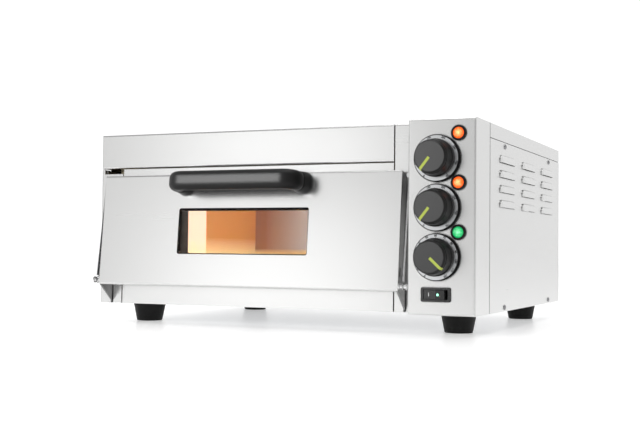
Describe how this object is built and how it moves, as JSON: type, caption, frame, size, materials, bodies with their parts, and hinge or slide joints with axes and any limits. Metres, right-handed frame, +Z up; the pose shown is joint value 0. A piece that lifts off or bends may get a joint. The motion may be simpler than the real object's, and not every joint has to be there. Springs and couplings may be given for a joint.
{
  "type": "countertop pizza oven",
  "caption": "Single-deck countertop pizza oven with a drop-down windowed door, a bar handle, rotary controls, signal lamps and louvred side, on tapered feet.",
  "frame": {"origin": "middle of the overall box's bottom face, on the surface that the feet stand on", "axes": "+X to the right seen from the front, +Y from the front to the back, +Z up"},
  "size_m": [0.5728, 0.5316, 0.265],
  "materials": {
    "stainless_steel": "satin brushed stainless sheet",
    "galvanised_steel": "dull zinc coated sheet",
    "chamber_steel": "aluminised sheet, heat tinted",
    "heater_tube": "dark oxidised tube",
    "mineral_wool": "fibrous slab",
    "baking_stone": "unglazed fired clay",
    "ceramic_socket": "matt porcelain",
    "clear_glass": "clear tempered glass",
    "dial_silver": "silver printed scale with a black edge",
    "switch_black": "moulded, semi gloss",
    "regulator_plastic": "moulded phenolic",
    "copper_tube": "drawn copper",
    "cable_rubber": "silicone sleeving",
    "orange_lens": "clear tinted lens",
    "green_lens": "clear tinted lens",
    "foot_black": "moulded rubber",
    "gland_black": "moulded nylon",
    "fastener_steel": "zinc plated",
    "spring_steel": "drawn wire",
    "window_black": "black enamel",
    "handle_black": "moulded phenolic, semi matt",
    "knob_black": "fine textured moulding",
    "lime_pointer": "lime coloured insert"
  },
  "bodies": {
    "casing": {"left_side_panel": "stainless_steel", "right_side_panel": "stainless_steel", "top_cover": "stainless_steel", "back_panel": "stainless_steel", "hood_panel": "stainless_steel", "left_jamb": "stainless_steel", "right_jamb": "stainless_steel", "lower_front_panel": "stainless_steel", "control_panel": "stainless_steel", "front_frame": "stainless_steel", "base_pan": "galvanised_steel", "control_divider": "galvanised_steel", "hinge_brackets": "galvanised_steel", "chamber_left_wall": "chamber_steel", "chamber_right_wall": "chamber_steel", "chamber_back_wall": "chamber_steel", "chamber_ceiling": "chamber_steel", "chamber_floor": "chamber_steel", "upper_heater": "heater_tube", "lower_heater": "heater_tube", "insulation": "mineral_wool", "baking_stone": "baking_stone", "lamp_holder": "ceramic_socket", "lamp_glass": "clear_glass", "dial_plates": "dial_silver", "switch_frame": "switch_black", "indicator_bezels": "switch_black", "thermostats": "regulator_plastic", "timer_body": "regulator_plastic", "terminal_block": "regulator_plastic", "capillary_tubes": "copper_tube", "wiring_loom": "cable_rubber", "orange_lenses": "orange_lens", "green_lens": "green_lens", "feet": "foot_black", "cable_gland": "gland_black", "foot_screws": "fastener_steel", "casing_screws": "fastener_steel", "hinge_pins": "fastener_steel", "spring_anchors": "fastener_steel", "door_springs": "spring_steel"},
    "door": {"door_outer_sheet": "stainless_steel", "door_arms": "stainless_steel", "door_inner_pan": "chamber_steel", "window_frame": "window_black", "window_glasses": "clear_glass", "handle_grip": "handle_black", "handle_posts": "handle_black", "door_screws": "fastener_steel", "spring_studs": "fastener_steel"},
    "upper_dial": {"upper_knob": "knob_black", "upper_pointer": "lime_pointer", "upper_shaft": "fastener_steel"},
    "lower_dial": {"lower_knob": "knob_black", "lower_pointer": "lime_pointer", "lower_shaft": "fastener_steel"},
    "timer_dial": {"timer_knob": "knob_black", "timer_pointer": "lime_pointer", "timer_shaft": "fastener_steel"},
    "power_switch": {"switch_paddle": "switch_black"}
  },
  "joints": [
    {"name": "door_hinge", "type": "hinge", "parent": "casing", "child": "door", "pos_m": [-0.0425, -0.1822, 0.037], "axis": [1, 0, 0], "range_deg": [0, 70], "stiffness_Nm_per_rad": 0.8, "springref_deg": -68.75, "deforming": ["door_springs"]},
    {"name": "upper_dial_turn", "type": "hinge", "parent": "casing", "child": "upper_dial", "pos_m": [0.2349, -0.2402, 0.2161], "axis": [0, 1, 0], "range_deg": [-218, 72]},
    {"name": "lower_dial_turn", "type": "hinge", "parent": "casing", "child": "lower_dial", "pos_m": [0.2349, -0.2402, 0.156], "axis": [0, 1, 0], "range_deg": [-218, 72]},
    {"name": "timer_dial_turn", "type": "hinge", "parent": "casing", "child": "timer_dial", "pos_m": [0.2349, -0.2402, 0.0959], "axis": [0, 1, 0], "range_deg": [-133, 167]},
    {"name": "power_rocker", "type": "hinge", "parent": "casing", "child": "power_switch", "pos_m": [0.2336, -0.2291, 0.0504], "axis": [0, 0, 1], "range_deg": [0, 20]}
  ]
}
